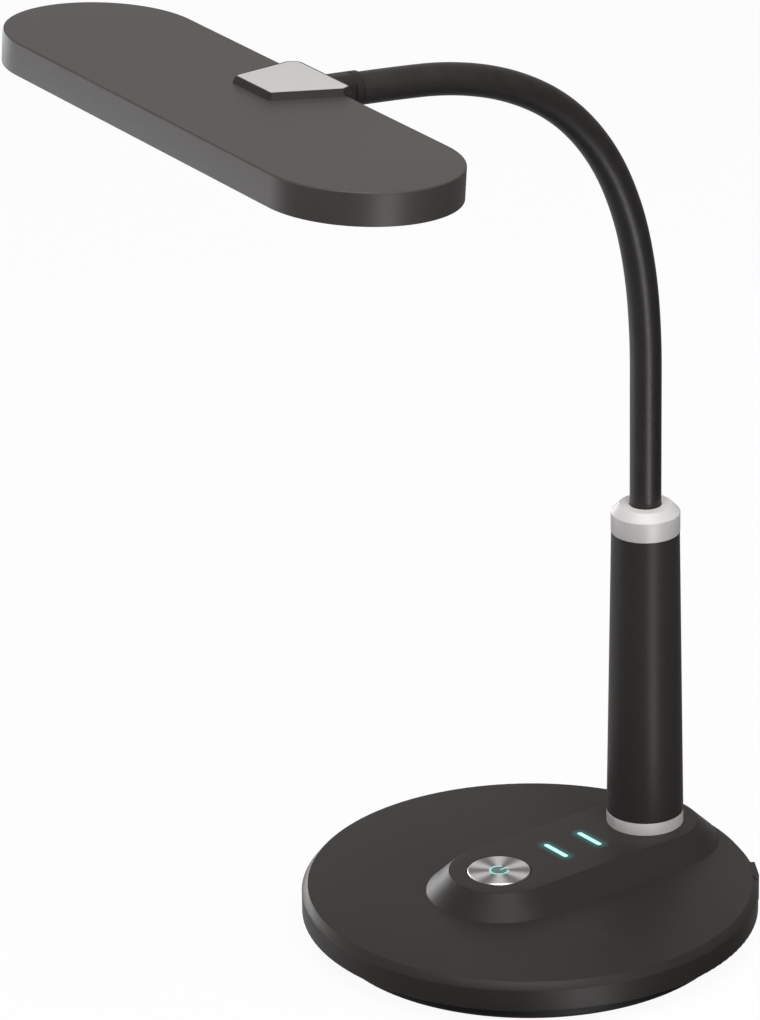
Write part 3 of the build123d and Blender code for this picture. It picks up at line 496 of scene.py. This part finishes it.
def sleeve_run(name, station, heading, length, bend):
    """One run of the sleeve: a ring between bore and skin, swept along a plain arc."""
    along = direction_at(heading)
    section = Matrix((neck_side, along.cross(neck_side), along)).transposed().to_4x4()
    section.translation = station
    form = bmesh.new()
    for ring_r in (SLEEVE_R, SLEEVE_BORE_R):
        bmesh.ops.create_circle(form, segments=SLEEVE_SIDES, radius=ring_r, matrix=section)
    bmesh.ops.bridge_loops(form, edges=form.edges[:])
    ring = form.verts[:] + form.edges[:] + form.faces[:]
    sweep = {"cent": station, "axis": neck_side, "angle": bend, "steps": RUN_STEPS}
    if bend == 0:
        sweep["dvec"] = along * (length / RUN_STEPS)
    else:
        ahead = neck_forward * math.cos(heading) - upward * math.sin(heading)
        sweep["cent"] = station + ahead * (length / bend)
    bmesh.ops.spin(form, geom=ring, use_duplicate=False, **sweep)
    bmesh.ops.remove_doubles(form, verts=form.verts[:], dist=SLEEVE_MERGE)
    bmesh.ops.recalc_face_normals(form, faces=form.faces[:])
    mesh = bpy.data.meshes.new(name)
    form.to_mesh(mesh)
    form.free()
    mesh.materials.append(sleeve_rubber)
    run = bpy.data.objects.new(name, mesh)
    bpy.context.scene.collection.objects.link(run)
    smooth(run)
    return run


cap_low, cap_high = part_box("column_cap")
station = (cap_low + cap_high) / 2
station.z = cap_high.z + NECK_LEAD
heading = 0.0
foot = SLEEVE_FOOT
for index, bend in enumerate(RUN_BENDS):
    end, onward = next_station(station, heading, RUN_LENGTH, bend)
    name = "sleeve_run_%02d" % (index + 1)
    run = sleeve_run(name, station - upward * foot, heading, RUN_LENGTH + foot, bend)
    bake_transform(run)
    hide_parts("neck_sleeve_%02d" % (index + 1))
    station, heading, foot = end, onward, 0.0

# ---- Bracket ----
# A low black pod with a block behind it that takes the neck, and a collar round the neck's end. A
# brushed silver plate lies in the pod, over the three screws that go down from it into the head.

POD_BLACK = (44, 40, 39)
PLATE_SILVER = (198, 195, 194)
PLATE_METALLIC = 0.3
BRUSHED = {"stretch": (0.12, 1, 1), "size": 0.0004, "spread": 0.04}

pod_plastic = moulded("pod_plastic", POD_BLACK, roughness=0.4, grain=0.0003, gloss=0.2)
for name in ("head_bracket", "neck_collar"):
    dress(name, pod_plastic)
plate_silver = bright_metal("insert_silver", PLATE_SILVER, roughness=0.4, **BRUSHED)
shader_of(plate_silver).inputs["Metallic"].default_value = PLATE_METALLIC
dress("bracket_plate", plate_silver)
dress("bracket_screws", zinc)

# ---- Head ----
# A long ABS housing, open below. In it lie a back plate, a white reflector, an acrylic light guide
# with an LED strip at each long edge, and an opal diffuser that closes the underside.

HEAD_GREY = (66, 62, 61)
BACK_GREY = (196, 196, 196)
FILM_WHITE = (240, 240, 240)
GUIDE_CLEAR = (226, 234, 236)
OPAL_WHITE = (236, 236, 233)
OPAL_FINISH = {"roughness": 0.38, "grain": 0.0002, "spread": 0.01, "strength": 0.12}
OPAL_DEPTH = 0.1
STRIP_WHITE = (228, 226, 214)

head_plastic = moulded("head_plastic", HEAD_GREY, roughness=0.42, grain=0.00035, gloss=0.25)
dress("head_housing", head_plastic)
dress("back_plate", moulded("back_plastic", BACK_GREY, roughness=0.5, grain=0.0004))
dress("head_screws", zinc)
dress("reflector_sheet", moulded("white_film", FILM_WHITE, roughness=0.6, grain=0.0003))
clear_acrylic, tree, shader = blank("clear_acrylic")
cloud = noise(tree, size=0.02, detail=2)
wire(tree, tinted(tree, cloud, GUIDE_CLEAR, spread=0.03), shader.inputs["Base Color"])
shader.inputs["Roughness"].default_value = 0.12
dress("light_guide", clear_acrylic)
opal = moulded("opal_diffuser", OPAL_WHITE, **OPAL_FINISH)
shader_of(opal).inputs["Subsurface Weight"].default_value = OPAL_DEPTH
dress("diffuser", opal)
strip_white = moulded("strip_white", STRIP_WHITE, roughness=0.45, grain=0.0003)
for name in ("led_strip_front", "led_strip_rear"):
    dress(name, strip_white)

# ---- Floor ----
# A pale floor, nearly white to the camera. It is see-through from below, so that a view from there
# shows the underside, and it keeps no lamp's light from the pieces.

FLOOR_HALF = 6.0
FLOOR_WHITE = (0.86, 0.86, 0.86, 1)
FLOOR_VEIL = 0.95


def seen_rays(tree, path):
    """1 for the rays of a Light Path node that come from the camera or through a clear piece."""
    rays = (path.outputs["Is Camera Ray"], path.outputs["Is Transmission Ray"])
    return sums(tree, "MAXIMUM", *rays)


def blend_shaders(tree, factor, first, second):
    """A Mix Shader node between two shaders."""
    mix = tree.nodes.new("ShaderNodeMixShader")
    for socket, source in zip(mix.inputs, (factor, first, second)):
        wire(tree, source, socket)
    return mix.outputs[0]


floor_mesh = bpy.data.meshes.new("floor")
floor_form = bmesh.new()
bmesh.ops.create_grid(floor_form, x_segments=1, y_segments=1, size=FLOOR_HALF)
floor_form.to_mesh(floor_mesh)
floor_form.free()
floor = bpy.data.objects.new("floor", floor_mesh)
bpy.context.scene.collection.objects.link(floor)
floor_paint, tree, shader = blank("floor_paint")
shader.inputs["Base Color"].default_value = FLOOR_WHITE
shader.inputs["Roughness"].default_value = 0.9
shader.inputs["Specular IOR Level"].default_value = 0.0
white = tree.nodes.new("ShaderNodeEmission")
white.inputs["Color"].default_value = (1, 1, 1, 1)
path = tree.nodes.new("ShaderNodeLightPath")
veil = sums(tree, "MULTIPLY", seen_rays(tree, path), FLOOR_VEIL)
veiled = blend_shaders(tree, veil, shader.outputs[0], white.outputs[0])
below = tree.nodes.new("ShaderNodeNewGeometry").outputs["Backfacing"]
clear = tree.nodes.new("ShaderNodeBsdfTransparent").outputs[0]
one_sided = blend_shaders(tree, below, veiled, clear)
wire(tree, one_sided, tree.nodes["Material Output"].inputs["Surface"])
floor_mesh.materials.append(floor_paint)
floor.visible_glossy = False
floor.visible_diffuse = False
floor.visible_shadow = False

# ---- Camera ----
# It looks down on the lamp from in front and to one side, through a long lens from almost three
# metres away, and is tipped by less than a degree.

CAMERA_AT = Vector((1.97005, -1.54711, 1.26595))
CAMERA_AZIMUTH = math.radians(53.2995)
CAMERA_ELEVATION = math.radians(23.0845)
CAMERA_ROLL = math.radians(-0.899)
FARTHEST_SEEN = 20
FOCAL_PX = 6373.2
FRAME_HEIGHT_PX = 1020
SENSOR_MM = 36.0

right = Vector((math.cos(CAMERA_AZIMUTH), math.sin(CAMERA_AZIMUTH), 0))
front = Vector((math.sin(CAMERA_AZIMUTH), -math.cos(CAMERA_AZIMUTH), 0))
back = front * math.cos(CAMERA_ELEVATION) + upward * math.sin(CAMERA_ELEVATION)
up = back.cross(right)
rolled_right = right * math.cos(CAMERA_ROLL) + up * math.sin(CAMERA_ROLL)
rolled_up = up * math.cos(CAMERA_ROLL) - right * math.sin(CAMERA_ROLL)

camera_data = bpy.data.cameras.new("camera")
camera_data.sensor_fit = "VERTICAL"
camera_data.sensor_height = SENSOR_MM
camera_data.lens = SENSOR_MM * FOCAL_PX / FRAME_HEIGHT_PX
camera_data.clip_end = FARTHEST_SEEN
camera = bpy.data.objects.new("camera", camera_data)
bpy.context.scene.collection.objects.link(camera)
turned = Matrix((rolled_right, rolled_up, back)).transposed().to_4x4()
camera.matrix_world = Matrix.Translation(CAMERA_AT) @ turned
bpy.context.scene.camera = camera

# ---- Surround ----
# A white studio, whose dim light only fills the shadows. In reflections it is bright to the left
# and behind the lamp and dark to the right, and the camera sees it about as white as the floor.

SURROUND_SEEN = 0.974
SURROUND_LIGHT = 0.26
MIRRORED_LEFT = 0.75
MIRRORED_RIGHT = 0.03
MIRROR_TURN = right * -0.85 - front * 0.53
MIRROR_START = -0.6

world = bpy.data.worlds.new("studio")
bpy.context.scene.world = world
world.use_nodes = True
tree = world.node_tree
surround = tree.nodes["Background"]
surround.inputs["Color"].default_value = (1, 1, 1, 1)
around = tree.nodes.new("ShaderNodeVectorMath")
around.operation = "DOT_PRODUCT"
around.inputs[1].default_value = MIRROR_TURN
wire(tree, tree.nodes.new("ShaderNodeTexCoord").outputs["Generated"], around.inputs[0])
mirrored = tree.nodes.new("ShaderNodeMapRange")
mirrored.inputs["From Min"].default_value = MIRROR_START
mirrored.inputs["From Max"].default_value = 1
mirrored.inputs["To Min"].default_value = MIRRORED_RIGHT
mirrored.inputs["To Max"].default_value = MIRRORED_LEFT
wire(tree, around.outputs["Value"], mirrored.inputs["Value"])
path = tree.nodes.new("ShaderNodeLightPath")
level = tree.nodes.new("ShaderNodeMix")
level.inputs["A"].default_value = SURROUND_LIGHT
wire(tree, path.outputs["Is Glossy Ray"], level.inputs["Factor"])
wire(tree, mirrored.outputs["Result"], level.inputs["B"])
seen_level = sums(tree, "MULTIPLY", seen_rays(tree, path), SURROUND_SEEN)
strength = sums(tree, "MAXIMUM", level.outputs["Result"], seen_level)
wire(tree, strength, surround.inputs["Strength"])

# ---- Lamps ----
# A large soft box in front and another overhead light the pieces. Three more only put sheen on the
# walls and rims: an upright one low in front, one low at the left and one level with the base,
# behind it.

DESK_LAMP_MIDDLE = Vector((0, -0.04, 0.22))


def soft_lamp(name, direction, distance, sides, power):
    """A soft box, sides wide and high, that faces the desk lamp from that direction."""
    light = bpy.data.lights.new(name, "AREA")
    light.shape = "RECTANGLE"
    light.size, light.size_y = sides
    light.energy = power
    lamp = bpy.data.objects.new(name, light)
    bpy.context.scene.collection.objects.link(lamp)
    lamp.location = DESK_LAMP_MIDDLE + direction.normalized() * distance
    lamp.rotation_euler = direction.to_track_quat("Z", "Y").to_euler()
    return lamp


key_from = front * 0.82 + right * 0.57 + upward * 0.75
top_from = front * 0.35 + upward * 0.94
strip_from = front * 0.84 + right * 0.4 - upward * 0.36
side_from = -front * 0.25 - right * 0.93 - upward * 0.19
rim_from = -front * 0.84 - right * 0.54
soft_lamp("key", key_from, distance=1.6, sides=(1.2, 1.2), power=8)
soft_lamp("top", top_from, distance=1.6, sides=(1.3, 1.3), power=25)
strip = soft_lamp("strip", strip_from, distance=1.9, sides=(0.6, 1.6), power=24)
side = soft_lamp("side", side_from, distance=1.6, sides=(0.9, 0.3), power=4.6)
rim = soft_lamp("rim", rim_from, distance=1.6, sides=(1.1, 0.3), power=12)
for lamp in (strip, side, rim):
    lamp.visible_diffuse = False

bpy.context.scene.view_settings.view_transform = "Standard"
